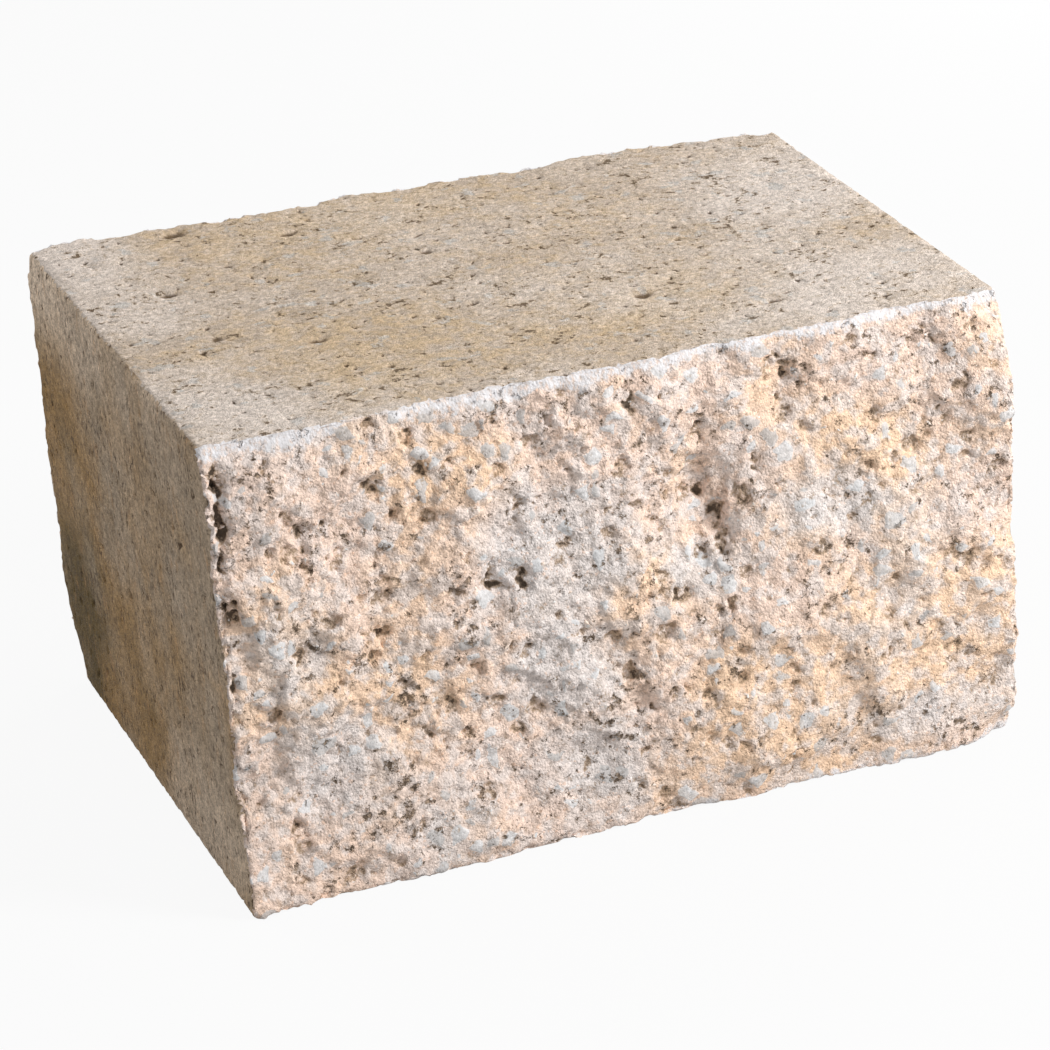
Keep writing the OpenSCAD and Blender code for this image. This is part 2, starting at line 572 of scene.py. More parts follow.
@dataclass(frozen=True)
class SplitFinish(Finish):
    """Freshly broken concrete: cream and peach sand with grey patches, and pits darkened brown to black,
    partly their own brown and partly painted shade.
    """

    name: str = "split_concrete"
    peach: Colour = (0.82, 0.632, 0.525, 1.0)
    orange: Colour = (0.87, 0.620, 0.435, 1.0)
    ash: Colour = (0.715, 0.663, 0.640, 1.0)
    cream: Colour = (0.755, 0.668, 0.622, 1.0)
    rust_grain: Colour = (0.62, 0.35, 0.20, 1.0)
    pale_stone: Colour = (0.605, 0.622, 0.636, 1.0)
    dark_stone: Colour = (0.46, 0.455, 0.45, 1.0)
    # The brown below is partly the pits' own brown and partly painted shade; the nearly black colour after it
    # is painted shade at the bottom of pits and hollows.
    brown: Colour = (0.38, 0.262, 0.165, 1.0)
    pit_shade: Colour = (0.095, 0.068, 0.048, 1.0)
    crushed: Colour = (0.690, 0.672, 0.682, 1.0)
    grain: float = 0.8
    blotch: float = 5.0
    sand_height: float = 0.34
    crumb_height: float = 0.80

    def paint(self, graph: Graph, rest: Feed, here: Feed, grain: GrainGroup) -> dict[str, Socket]:
        """Add the finish's own nodes, as Finish says."""
        sand = grain.place(graph, here, self.grain)
        bared = self.known(graph, Mask.STONE)
        crumbs = graph.swing(here, 2.2, 4.0, 0.72)
        warm = graph.step(self.known(graph, Mask.WARM), 0.40, 0.70)
        colour = graph.tint(warm, self.peach, self.orange)
        blotch = graph.step(graph.noise(graph.moved(rest, 55.0), self.blotch, 2.0, 0.5), 0.44, 0.62)
        colour = graph.tint(graph.times(blotch, 0.75), colour, self.cream)
        pale = graph.step(self.known(graph, Mask.PALE), 0.48, 0.74)
        colour = graph.tint(graph.times(pale, 0.8), colour, self.ash)
        rust = graph.step(sand["Pick"], 0.95, 0.97)
        colour = graph.tint(graph.times(rust, 0.35), colour, self.rust_grain)
        shade = graph.least(graph.fitted(crumbs, 1.8, 1.0), 1.03)
        colour = shaded(graph, colour, shade)
        pick = self.known(graph, Mask.PICK)
        stone_colour = graph.tint(graph.step(pick, 0.55, 0.75), self.pale_stone, self.dark_stone)
        stone = graph.step(graph.fitted(crumbs, 1.3, bared), 0.35, 0.70)
        colour = graph.tint(graph.times(stone, 0.75), colour, stone_colour)
        speckle = graph.fitted(sand["Pick"], 0.30, 0.62)
        speckle = graph.fitted(sand["Tone"], 0.45, speckle)
        colour = shaded(graph, colour, graph.least(speckle, 1.10))
        crowd = graph.swing(graph.moved(rest, 77.0), 13.0, 2.0, 0.5)
        torn = graph.noise(graph.moved(rest, 33.0), 2.7, 4.0, 0.70)
        torn = graph.step(graph.fitted(crowd, 0.40, torn), 0.60, 0.71)
        # Painted shade: pits, hollows, empty sockets and torn holes are darkened brown to nearly black.
        colour = self.stained_and_shaded(graph, colour, crumbs, graph.times(bared, -1.0), torn)
        band = self.known(graph, Mask.CRUSHED)
        ragged = graph.swing(rest, 3.2, 4.0, 0.7)
        crushed = graph.step(graph.fitted(ragged, 12.0, band), -1.2, 1.4)
        streaks = graph.noise(graph.vector("MULTIPLY", rest, (1.0, 1.0, 0.25)), 1.2, 3.0, 0.7)
        powder = shaded(graph, self.crushed, streaks, 0.9, 0.55)
        cover = graph.times(crushed, graph.step(streaks, 0.24, 0.58))
        colour = graph.tint(cover, colour, powder)
        calm = graph.most(graph.times(crushed, 0.5), graph.times(stone, 0.8))
        fine = graph.times(sand["Height"], self.sand_height)
        fine = graph.fitted(crumbs, self.crumb_height, fine)
        fine = graph.times(fine, graph.fitted(calm, -0.75, 1.0))
        relief = graph.fitted(torn, -0.9, fine)
        return {"Color": colour, "Roughness": graph.blend(sand["Pick"], 0.82, 0.95), "Height": relief}

    def stained_and_shaded(self, graph: Graph, colour: Feed, crumbs: Feed, socket: Feed, lost: Feed) -> Socket:
        """Darken the pits and hollows, brown at first and nearly black at their bottom: partly their own
        brown and partly painted shade.

        Args:
            graph: The material's graph.
            colour: The clean colour.
            crumbs: The noise that frays the brown and the painted shade.
            socket: 1 in the sockets of lost stones.
            lost: 1 in the small holes of lost grains.

        Returns:
            The colour with the brown and the painted shade.
        """
        cavity = self.known(graph, Mask.CAVITY)
        hollow = graph.times(self.known(graph, Mask.HOLLOW), graph.step(cavity, 0.5, -1.1))
        sunk = graph.most(graph.step(cavity, -0.2, -2.0), graph.times(socket, 0.50))
        sunk = graph.most(sunk, graph.times(lost, 0.85))
        sunk = graph.fitted(crumbs, -2.8, graph.most(sunk, hollow))
        colour = graph.tint(graph.times(graph.step(sunk, 0.18, 0.64), 0.78), colour, self.brown)
        return graph.tint(graph.times(graph.step(sunk, 0.60, 1.02), 0.92), colour, self.pit_shade)


@dataclass(frozen=True)
class BedFinish(Finish):
    """The pressed bed: tan sand with fine pores darkened as painted shade, and paler places that are partly
    dust and partly painted light.
    """

    name: str = "pressed_concrete"
    tan: Colour = (0.532, 0.427, 0.332, 1.0)
    ochre: Colour = (0.565, 0.420, 0.268, 1.0)
    dust_and_light: Colour = (0.68, 0.590, 0.520, 1.0)
    stone: Colour = (0.52, 0.505, 0.485, 1.0)
    pore: Colour = (0.11, 0.068, 0.034, 1.0)
    grain: float = 0.55
    pore_size: float = 3.2
    sand_height: float = 0.30

    def paint(self, graph: Graph, rest: Feed, here: Feed, grain: GrainGroup) -> dict[str, Socket]:
        """Add the finish's own nodes, as Finish says."""
        sand = grain.place(graph, here, self.grain)
        cavity = self.known(graph, Mask.CAVITY)
        crumbs = graph.noise(rest, 1.8, 4.0, 0.75)
        blotch = graph.noise(graph.moved(rest, 190.0), 6.0, 3.0, 0.65)
        warm = graph.fitted(graph.minus(blotch, 0.5), 1.6, self.known(graph, Mask.WARM))
        colour = graph.tint(graph.step(warm, 0.36, 0.86), self.tan, self.ochre)
        # Paler where the pale patches lie: partly dust, and partly painted light that lightens the top
        # towards its left and right ends.
        dust = graph.fitted(graph.minus(crumbs, 0.5), 0.4, self.known(graph, Mask.PALE))
        colour = graph.tint(graph.step(dust, 0.40, 0.84), colour, self.dust_and_light)
        stone = graph.step(graph.noise(graph.moved(rest, 240.0), 7.0, 3.0, 0.55), 0.60, 0.68)
        colour = graph.tint(graph.times(stone, 0.6), colour, self.stone)
        colour = shaded(graph, colour, crumbs, 1.5, 0.25)
        speckle = graph.fitted(sand["Pick"], 0.26, 0.62)
        colour = shaded(graph, colour, sand["Tone"], 0.5, speckle)
        crowd = graph.noise(graph.moved(rest, 41.0), 11.0, 3.0, 0.6)
        hole = graph.noise(graph.moved(rest, 66.0), self.pore_size, 4.0, 0.72)
        hole = graph.fitted(graph.minus(crowd, 0.5), 0.5, hole)
        # Painted shade: the pores and the recesses of the relief are darkened nearly to black; the ochre rim
        # around the pores is their own colour.
        pore = graph.most(graph.step(hole, 0.625, 0.67), graph.step(cavity, -0.15, -0.75))
        colour = graph.tint(graph.times(graph.step(hole, 0.55, 0.65), 0.6), colour, self.ochre)
        colour = graph.tint(graph.times(pore, 0.9), colour, self.pore)
        relief = graph.times(sand["Height"], self.sand_height)
        relief = graph.fitted(graph.minus(crumbs, 0.5), 1.1, relief)
        relief = graph.fitted(blotch, 1.2, relief)
        relief = graph.fitted(pore, -0.7, relief)
        return {"Color": colour, "Roughness": graph.blend(sand["Pick"], 0.84, 0.96), "Height": relief}


@dataclass(frozen=True)
class EndFinish(Finish):
    """The moulded end: smooth, close concrete with small blow holes and faint upright streaks."""

    name: str = "moulded_concrete"
    brown: Colour = (0.395, 0.302, 0.212, 1.0)
    russet: Colour = (0.40, 0.245, 0.107, 1.0)
    dark_brown: Colour = (0.135, 0.090, 0.034, 1.0)
    dust_and_light: Colour = (0.72, 0.575, 0.440, 1.0)
    rust: Colour = (0.46, 0.26, 0.12, 1.0)
    lit_end_tone: Colour = (0.47, 0.385, 0.300, 1.0)
    pore: Colour = (0.10, 0.062, 0.035, 1.0)
    grain: float = 0.6
    pore_size: float = 1.5
    sand_height: float = 0.30

    def paint(self, graph: Graph, rest: Feed, here: Feed, grain: GrainGroup) -> dict[str, Socket]:
        """Add the finish's own nodes, as Finish says."""
        sand = grain.place(graph, here, self.grain)
        cavity = self.known(graph, Mask.CAVITY)
        upright = graph.vector("MULTIPLY", rest, (1.0, 1.0, 0.45))
        crumbs = graph.noise(rest, 2.2, 4.0, 0.75)
        warm = self.known(graph, Mask.WARM)
        colour = graph.tint(graph.step(warm, 0.36, 0.68), self.brown, self.russet)
        # Darker brown where the warm patches are strongest, most of all low at the back of the left end.
        colour = graph.tint(graph.step(warm, 0.50, 0.98), colour, self.dark_brown)
        # Paler where the pale patches lie: partly dust, and partly painted light that lightens the left end
        # near its top at the back and at its foot.
        colour = graph.tint(graph.step(self.known(graph, Mask.PALE), 0.42, 0.92), colour, self.dust_and_light)
        rust = graph.step(graph.noise(graph.moved(upright, 120.0), 5.0, 4.0, 0.7), 0.54, 0.72)
        colour = graph.tint(graph.times(rust, 0.55), colour, self.rust)
        colour = shaded(graph, colour, crumbs, 2.4, -0.2)
        speckle = graph.fitted(sand["Pick"], 0.3, 0.35)
        colour = shaded(graph, colour, sand["Tone"], 1.0, speckle)
        # Painted light and shade: the left end keeps the darker, warmer colours of a side in shade, while the
        # right end, which the key light reaches, is blended half way to a paler, duller colour.
        right = graph.step(graph.axes(rest)[0], -60.0, 60.0)
        colour = graph.tint(graph.times(right, 0.5), colour, self.lit_end_tone)
        crowd = graph.noise(graph.moved(rest, 41.0), 16.0, 3.0, 0.6)
        hole = graph.noise(graph.moved(upright, 66.0), self.pore_size, 2.0, 0.6)
        hole = graph.fitted(graph.minus(crowd, 0.5), 0.4, hole)
        # Painted shade: the blow holes and the recesses of the relief are darkened nearly to black.
        pore = graph.most(graph.step(hole, 0.62, 0.68), graph.step(cavity, -0.15, -0.75))
        colour = graph.tint(graph.times(pore, 0.85), colour, self.pore)
        relief = graph.times(sand["Height"], self.sand_height)
        relief = graph.fitted(graph.minus(crumbs, 0.5), 0.7, relief)
        relief = graph.fitted(pore, -0.4, relief)
        return {"Color": colour, "Roughness": graph.blend(sand["Pick"], 0.78, 0.9), "Height": relief}


@dataclass(frozen=True)
class StoneFinish(Finish):
    """The stones of the mix: mostly pale blue-grey, some white, some dark or brown, dusty at the rim."""

    name: str = "exposed_stone"
    pale: Colour = (0.58, 0.59, 0.595, 1.0)
    white: Colour = (0.70, 0.69, 0.675, 1.0)
    dark: Colour = (0.40, 0.39, 0.37, 1.0)
    brown: Colour = (0.56, 0.38, 0.25, 1.0)
    dust: Colour = (0.80, 0.660, 0.560, 1.0)
    grain: float = 0.7
    sand_height: float = 0.12

    def paint(self, graph: Graph, rest: Feed, here: Feed, grain: GrainGroup) -> dict[str, Socket]:
        """Add the finish's own nodes, as Finish says."""
        tone = self.known(graph, Mask.TONE)
        rim = self.known(graph, Mask.RIM)
        sand = grain.place(graph, here, self.grain)
        colour = graph.tint(graph.step(tone, 0.50, 0.60), self.pale, self.white)
        colour = graph.tint(graph.step(tone, 0.76, 0.82), colour, self.dark)
        colour = graph.tint(graph.step(tone, 0.92, 0.94), colour, self.brown)
        dust = graph.fitted(graph.minus(sand["Tone"], 0.5), 0.8, rim)
        colour = graph.tint(graph.step(dust, 0.50, 0.28), colour, self.dust)
        colour = shaded(graph, colour, sand["Tone"], 0.3, 0.84)
        relief = graph.times(sand["Height"], self.sand_height)
        return {"Color": colour, "Roughness": graph.blend(sand["Pick"], 0.55, 0.8), "Height": relief}


@dataclass
class BlockBody:
    """The block itself: the CAD solid, remeshed and given the surface of each side."""

    SIZES: ClassVar[tuple[str, ...]] = (
        "lump_size", "lump_rise", "clump_size", "clump_rise", "stone_rise", "socket_depth", "grain_rise",
        "set_back", "pore_size", "pore_depth", "edge_wear", "bite",
    )
    FINISHES: ClassVar[dict[str, type[Finish]]] = {
        "Split Concrete": SplitFinish,
        "Pressed Concrete": BedFinish,
        "Moulded Concrete": EndFinish,
    }

    map_side: float = 492.0
    islands: tuple[Island, ...] = (
        Island(Side.FRONT, 0, 2, False, 2.0, 2.0),
        Island(Side.BACK, 0, 2, True, 248.0, 2.0),
        Island(Side.TOP, 0, 1, False, 2.0, 146.0),
        Island(Side.BOTTOM, 0, 1, True, 248.0, 146.0),
        Island(Side.LEFT, 1, 2, True, 2.0, 350.0),
        Island(Side.RIGHT, 1, 2, False, 206.0, 350.0),
    )

    voxel: float = 0.7 * MM
    triangles: int = 196_000
    softening: int = 14
    crease: float = 75.0
    mix: Mix = Mix()
    lump_size: float = 14.0
    lump_rise: float = 4.6
    clump_size: float = 6.0
    clump_rise: float = 1.5
    stone_rise: float = 0.3
    socket_depth: float = 1.3
    grain_rise: float = 0.9
    set_back: float = 0.6
    pore_size: float = 3.4
    pore_depth: float = 0.9
    edge_wear: float = 1.8
    bite: float = 3.0
    patch_size: float = 46.0
    patch_strength: float = 0.22
    band_low: float = 137.0
    band_gaps: tuple[Spot, ...] = (
        Spot(-108.0, 132.5, 16.0, 4.5, 4.0),
        Spot(75.0, 134.0, 45.0, 4.0, 1.2),
        Spot(-71.0, 138.0, 9.0, 5.0, 7.0),
        Spot(-20.0, 136.0, 5.0, 3.0, 3.0),
        Spot(50.0, 136.0, 7.0, 4.0, 4.0),
        Spot(101.0, 136.0, 8.0, 4.0, 4.0),
    )
    front_warm: tuple[Spot, ...] = (
        Spot(55.0, 25.0, 36.0, 30.0, 1.3),
        Spot(95.0, 45.0, 32.0, 26.0, 1.3),
        Spot(-104.0, 85.0, 20.0, 32.0, 0.5),
        Spot(-35.0, 118.0, 30.0, 14.0, 0.4),
        Spot(85.0, 98.0, 28.0, 18.0, 0.7),
    )
    front_pale: tuple[Spot, ...] = (
        Spot(-92.0, 42.0, 18.0, 20.0),
        Spot(-25.0, 88.0, 24.0, 24.0, 1.2),
        Spot(-22.0, 52.0, 22.0, 16.0, 1.2),
        Spot(-18.0, 24.0, 22.0, 14.0, 0.9),
        Spot(-100.0, 80.0, 16.0, 22.0, 0.6),
        Spot(93.0, 14.0, 24.0, 10.0),
        Spot(24.0, 72.0, 14.0, 10.0),
        Spot(66.0, 88.0, 14.0, 10.0),
    )
    top_warm: tuple[Spot, ...] = (
        Spot(-25.0, 68.0, 60.0, 26.0),
        Spot(-45.0, -55.0, 45.0, 26.0),
        Spot(30.0, -45.0, 40.0, 26.0),
    )
    top_pale: tuple[Spot, ...] = (
        Spot(-112.0, 60.0, 26.0, 70.0, 1.4),
        Spot(-108.0, -70.0, 26.0, 50.0),
        Spot(98.0, 40.0, 40.0, 60.0),
        Spot(85.0, -70.0, 55.0, 40.0),
        Spot(0.0, -99.0, 125.0, 14.0, 0.8),
    )
    end_warm: tuple[Spot, ...] = (
        Spot(88.0, 24.0, 62.0, 52.0, 2.0),
        Spot(94.0, 85.0, 50.0, 44.0, 1.2),
    )
    end_pale: tuple[Spot, ...] = (
        Spot(78.0, 140.0, 70.0, 30.0, 1.35),
        Spot(10.0, 142.0, 70.0, 22.0, 0.7),
        Spot(-60.0, 8.0, 45.0, 26.0, 0.9),
    )
    top_pits: tuple[Spot, ...] = (
        Spot(-76.0, 84.0, 5.0, 4.0, 2.2),
        Spot(-45.0, 65.0, 3.5, 3.0, 1.6),
        Spot(-92.0, 33.0, 4.0, 3.0, 1.6),
        Spot(-90.0, -10.0, 3.0, 2.5, 1.2),
        Spot(-65.0, -26.0, 3.0, 3.0, 1.4),
        Spot(-13.0, 28.0, 3.0, 2.5, 1.2),
        Spot(30.0, -40.0, 4.0, 3.0, 1.6),
        Spot(60.0, -64.0, 5.0, 1.8, 1.4),
    )
    end_pits: tuple[Spot, ...] = (
        Spot(-5.0, 104.0, 1.5, 2.5, 1.2),
        Spot(20.0, 77.0, 1.6, 3.6, 1.5),
        Spot(8.0, 58.0, 1.6, 2.2, 1.2),
        Spot(-80.0, 92.0, 1.6, 2.4, 1.2),
    )
    hollows: tuple[Spot, ...] = (
        Spot(27.0, 93.0, 7.0, 14.0, 1.3),
        Spot(26.0, 114.0, 2.8, 4.5, 2.8),
        Spot(24.0, 104.0, 2.4, 3.6, 2.6),
        Spot(25.5, 97.0, 4.2, 3.2, 4.0),
        Spot(29.5, 88.0, 2.6, 5.0, 3.8),
        Spot(31.0, 81.0, 2.2, 4.5, 3.2),
        Spot(24.5, 76.5, 2.2, 3.6, 3.0),
        Spot(15.5, 97.0, 1.8, 4.5, 2.6),
        Spot(14.0, 89.0, 1.6, 4.0, 2.4),
        Spot(17.5, 68.0, 3.8, 3.0, 3.6),
        Spot(26.0, 54.0, 3.0, 4.5, 2.2),
        Spot(42.0, 102.5, 2.0, 4.2, 2.6),
        Spot(44.0, 94.0, 1.8, 3.0, 2.0),
        Spot(50.5, 133.0, 3.4, 3.0, 3.2),
        Spot(53.0, 128.0, 2.6, 3.6, 3.2),
        Spot(52.5, 120.0, 2.2, 3.2, 2.6),
        Spot(15.0, 129.0, 1.8, 2.4, 2.2),
        Spot(-31.0, 84.0, 2.4, 4.0, 2.8),
        Spot(66.0, 92.0, 3.0, 4.5, 2.0),
        Spot(92.0, 130.0, 2.5, 3.0, 2.0),
        Spot(98.0, 130.0, 2.5, 3.0, 2.0),
        Spot(96.0, 109.0, 3.5, 4.0, 2.4),
        Spot(99.0, 66.0, 3.5, 4.0, 2.2),
        Spot(81.0, 53.0, 3.0, 4.0, 1.8),
        Spot(79.0, 40.0, 3.0, 4.0, 1.6),
        Spot(112.0, 20.0, 5.0, 6.0, 2.0),
        Spot(5.0, 129.0, 3.5, 4.5, 2.8),
        Spot(-18.0, 92.0, 3.5, 4.5, 2.4),
        Spot(-40.0, 85.0, 4.0, 5.5, 2.8),
        Spot(-32.0, 53.0, 3.5, 4.0, 2.0),
        Spot(-11.0, 70.0, 3.0, 3.0, 1.6),
        Spot(-56.0, 51.0, 3.5, 5.5, 2.6),
        Spot(-58.0, 41.0, 3.0, 3.0, 2.0),
        Spot(-80.0, 48.0, 3.0, 3.0, 2.0),
        Spot(-58.0, 121.0, 3.5, 4.5, 2.6),
        Spot(-72.0, 119.0, 4.0, 4.5, 3.0),
        Spot(-72.0, 98.0, 3.0, 4.0, 1.8),
        Spot(-77.0, 77.0, 4.5, 3.5, 2.4),
        Spot(-87.0, 111.0, 3.0, 3.5, 2.2),
        Spot(-94.0, 110.0, 2.8, 4.5, 2.6),
        Spot(-98.0, 75.0, 3.0, 4.0, 2.0),
        Spot(-104.0, 22.0, 3.5, 3.5, 2.0),
        Spot(-116.0, 130.0, 2.4, 6.0, 5.0),
        Spot(-117.0, 119.0, 2.2, 7.5, 5.0),
        Spot(-117.5, 106.0, 1.8, 5.0, 4.0),
        Spot(-117.0, 93.0, 2.2, 5.5, 4.5),
        Spot(-118.0, 70.0, 1.8, 5.0, 3.0),
    )

    def relief_tree(self) -> bpy.types.GeometryNodeTree:
        """Build the tree that gives every side its surface.

        Returns:
            The geometry node group.
        """
        inputs = {"Geometry": "NodeSocketGeometry", "Softening": "NodeSocketInt"}
        inputs.update({size: "NodeSocketFloat" for size in labelled(self, self.SIZES)})
        inputs.update({corner: "NodeSocketVector" for corner in ("Low Corner", "High Corner")})
        inputs.update({finish: "NodeSocketMaterial" for finish in self.FINISHES})
        tree = new_group("block_relief", "GeometryNodeTree", inputs, {"Geometry": "NodeSocketGeometry"})
        graph = Graph(tree)
        given = graph.add("NodeGroupInput").outputs
        soft = self.softened(graph, given)
        marked = self.marked(graph, soft)
        raised = self.raised(graph, marked, given)
        placed = graph.one("GeometryNodeInputPosition")
        held = graph.vector("MAXIMUM", placed, given["Low Corner"])
        held = graph.vector("MINIMUM", held, given["High Corner"])
        inside = graph.one("GeometryNodeSetPosition", {"Geometry": raised, "Position": held})
        done = graph.one("GeometryNodeRealizeInstances", {"Geometry": inside})
        split = graph.math("GREATER_THAN", self.spread(graph, self.named(graph, Mask.SPLIT), 6), 0.22)
        bed = graph.math("GREATER_THAN", self.named(graph, Mask.BED), 0.5)
        areas = {"Moulded Concrete": True, "Pressed Concrete": bed, "Split Concrete": split}
        for material, where in areas.items():
            feeds = {"Geometry": done, "Selection": where, "Material": given[material]}
            done = graph.one("GeometryNodeSetMaterial", feeds)
        graph.add("NodeGroupOutput", {"Geometry": done})
        return tree

    def softened(self, graph: Graph, given: Outputs) -> Socket:
        """Round off the facets of the split faces.

        Args:
            graph: The relief's graph.
            given: The tree's inputs.

        Returns:
            The geometry.
        """
        facing = graph.axes(graph.one("GeometryNodeInputNormal"))
        split = graph.step(graph.math("ABSOLUTE", facing[1]), 0.45, 0.75)
        position = graph.one("GeometryNodeInputPosition")
        smooth = self.spread(graph, position, given["Softening"], split)
        return graph.one("GeometryNodeSetPosition", {"Geometry": given["Geometry"], "Position": smooth})

    def marked(self, graph: Graph, geometry: Feed) -> Socket:
        """Store where each point rests and which kind of side it is on.

        Args:
            graph: The relief's graph.
            geometry: The softened block.

        Returns:
            The geometry with the attributes rest, split and bed.
        """
        facing = graph.axes(graph.one("GeometryNodeInputNormal"))
        place = graph.axes(graph.one("GeometryNodeInputPosition"))
        split = graph.step(graph.math("ABSOLUTE", facing[1]), 0.30, 0.50)
        middle = HEIGHT / 2.0
        from_bed = graph.minus(middle, graph.math("ABSOLUTE", graph.minus(place[2], middle)))
        raised = graph.math("GREATER_THAN", from_bed, 0.9 * MM)
        outer = graph.times(raised, graph.math("GREATER_THAN", graph.math("ABSOLUTE", place[1]), 80.0 * MM))
        outer = graph.times(outer, graph.math("LESS_THAN", graph.math("ABSOLUTE", facing[0]), 0.7))
        split = graph.most(split, outer)
        bed = graph.step(graph.math("ABSOLUTE", facing[2]), 0.60, 0.80)
        geometry = self.stored(graph, geometry, Mask.REST, graph.one("GeometryNodeInputPosition"))
        geometry = self.stored(graph, geometry, Mask.SPLIT, split)
        return self.stored(graph, geometry, Mask.BED, graph.times(bed, graph.minus(1.0, split)))

    @staticmethod
    def stored(graph: Graph, geometry: Feed, mask: Mask, value: Socket) -> Socket:
        """Store a point attribute.

        Args:
            graph: The relief's graph.
            geometry: What it is stored on.
            mask: Which attribute it is.
            value: The attribute's field.

        Returns:
            The geometry.
        """
        kind = "FLOAT_VECTOR" if value.type == "VECTOR" else "FLOAT"
        node = graph.add("GeometryNodeStoreNamedAttribute", data_type=kind, domain="POINT")
        graph.feed(node.inputs["Geometry"], geometry)
        graph.feed(node.inputs["Name"], mask.value)
        graph.feed(live(node.inputs, "Value"), value)
        return node.outputs[0]

    @staticmethod
    def named(graph: Graph, mask: Mask, kind: str = "FLOAT") -> Socket:
        """Read a point attribute.

        Args:
            graph: The relief's graph.
            mask: Which attribute it is.
            kind: Its data type.

        Returns:
            The attribute's field.
        """
        node = graph.add("GeometryNodeInputNamedAttribute", {"Name": mask.value}, data_type=kind)
        return live(node.outputs, "Attribute")

    @staticmethod
    def spread(graph: Graph, value: Socket, times: Feed, weight: Feed = 1.0) -> Socket:
        """Blur a value over neighbouring points.

        Args:
            graph: The relief's graph.
            value: The field to blur.
            times: How often it is averaged.
            weight: How much of the average each point takes.

        Returns:
            The blurred field.
        """
        kind = "FLOAT_VECTOR" if value.type == "VECTOR" else "FLOAT"
        node = graph.add("GeometryNodeBlurAttribute", data_type=kind)
        graph.feed(live(node.inputs, "Value"), value)
        graph.feed(node.inputs["Iterations"], times)
        graph.feed(node.inputs["Weight"], weight)
        return live(node.outputs, "Value")

    def raised(self, graph: Graph, geometry: Feed, given: Outputs) -> Socket:
        """Move the points by the relief of their side.

        Args:
            graph: The relief's graph.
            geometry: The block with its attributes.
            given: The tree's inputs.

        Returns:
            The geometry with its relief.
        """
        rest = graph.scaled(self.named(graph, Mask.REST, "FLOAT_VECTOR"), 1.0 / MM)
        place = graph.axes(rest)
        geometry = self.stored(graph, geometry, Mask.CRUSHED, self.band(graph, rest, place))
        swayed = self.mix.swayed(graph, rest)
        stones = self.mix.stones(graph, swayed)
        bared = graph.minus(stones["Stone"], stones["Socket"])
        geometry = self.stored(graph, geometry, Mask.STONE, bared)
        geometry = self.stored(graph, geometry, Mask.PICK, stones["Pick"])
        broken, deepest = self.broken(graph, rest, swayed, given)
        geometry = self.toned(graph, geometry, rest, deepest)
        near_end = graph.step(graph.math("ABSOLUTE", place[0]), 104.0, 117.0)
        quiet = graph.times(near_end, graph.step(place[1], -30.0, 30.0))
        broken = graph.times(broken, graph.fitted(quiet, -0.6, 1.0))
        even = graph.fitted(graph.step(place[0], -10.0, 70.0), -0.28, 1.0)
        low = graph.fitted(graph.step(place[2], 45.0, 15.0), -0.22, 1.0)
        broken = graph.times(broken, graph.times(even, low))
        relief = graph.blend(self.named(graph, Mask.SPLIT), self.pressed(graph, rest, given), broken)
        relief = graph.minus(relief, self.worn(graph, rest, place, given))
        geometry = self.stored(graph, geometry, Mask.CAVITY, relief)
        cavity = self.named(graph, Mask.CAVITY)
        normal = graph.one("GeometryNodeInputNormal")
        offset = graph.scaled(normal, graph.times(cavity, MM))
        geometry = graph.one("GeometryNodeSetPosition", {"Geometry": geometry, "Offset": offset})
        # The depth below the blurred relief, which the materials darken as painted shade.
        sunk = graph.minus(cavity, self.spread(graph, cavity, 24))
        return self.stored(graph, geometry, Mask.CAVITY, sunk)

    def band(self, graph: Graph, rest: Feed, place: Outputs) -> Socket:
        """Work out where the splitting blade has crushed the face along its edges.

        Args:
            graph: The relief's graph.
            rest: The place before the relief, in millimetres.
            place: The same place as its three coordinates.

        Returns:
            How far a point lies inside the crushed band, in millimetres, below 0 outside it.
        """
        wave = graph.swing(rest, 22.0, 2.0, 0.5)
        lower = graph.fitted(wave, 7.0, graph.fitted(place[0], 0.02, -0.6))
        lower = graph.minus(lower, place[2])
        upper = graph.fitted(wave, 10.0, graph.minus(place[2], self.band_low))
        upper = graph.fitted(place[0], -0.003, upper)
        gaps = graph.ellipses(graph.wandering(rest, 5.0, 5.0, 2.0), Side.FRONT, self.band_gaps, 1.3, 0.2)
        return graph.most(graph.minus(upper, gaps), lower)

    def pressed(self, graph: Graph, rest: Feed, given: Outputs) -> Socket:
        """Work out the relief of a bed or an end.

        Args:
            graph: The relief's graph.
            rest: The place before the relief, in millimetres.
            given: The tree's inputs.

        Returns:
            The height over the side, in millimetres.
        """
        pores = graph.step(graph.noise(rest, given["Pore Size"], 1.0, 0.5), 0.64, 0.76)
        deepest = graph.times(pores, given["Pore Depth"])
        bent = graph.wandering(rest, 4.0, 4.0, 2.0)
        for side, pits in ((Side.TOP, self.top_pits), (Side.LEFT, self.end_pits)):
            deepest = graph.most(deepest, graph.ellipses(bent, side, pits, 1.2, 0.2))
        return graph.times(deepest, -1.0)

